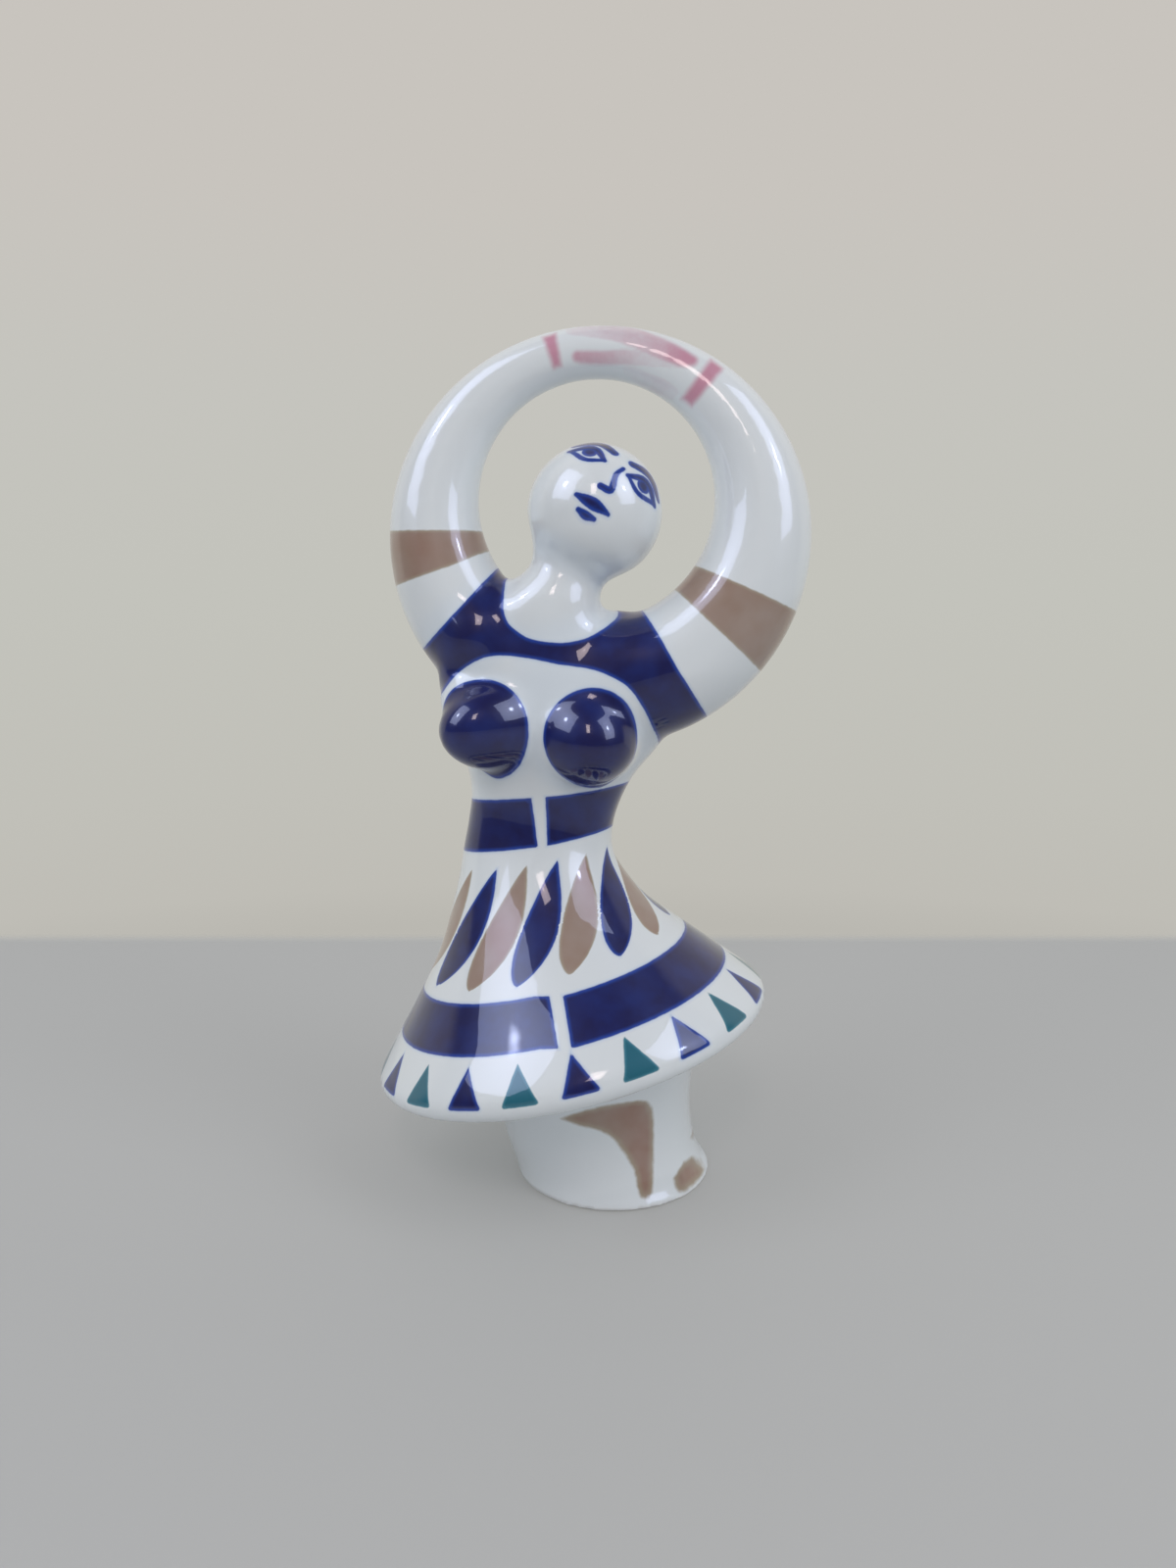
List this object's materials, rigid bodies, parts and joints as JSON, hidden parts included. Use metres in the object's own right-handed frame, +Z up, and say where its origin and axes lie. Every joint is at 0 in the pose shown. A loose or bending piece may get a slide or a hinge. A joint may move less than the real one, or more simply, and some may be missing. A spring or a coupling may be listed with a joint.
{
  "type": "porcelain dancer figurine",
  "caption": "Stylised porcelain dancer in a flared skirt on a slanting pedestal, with a round head and arms joined overhead in a smooth ring; stands on its flat foot.",
  "frame": {"origin": "middle of the foot's underside, on the surface that it stands on", "axes": "+Z up, the dancer faces -Y, +X to the viewer's right"},
  "size_m": [0.0821, 0.0688, 0.1607],
  "materials": {
    "porcelain": "glossy clear glaze over bluish white porcelain, with cobalt blue, brown, teal and pink painted under it"
  },
  "bodies": {
    "root": {"dancer": "porcelain"}
  },
  "joints": []
}
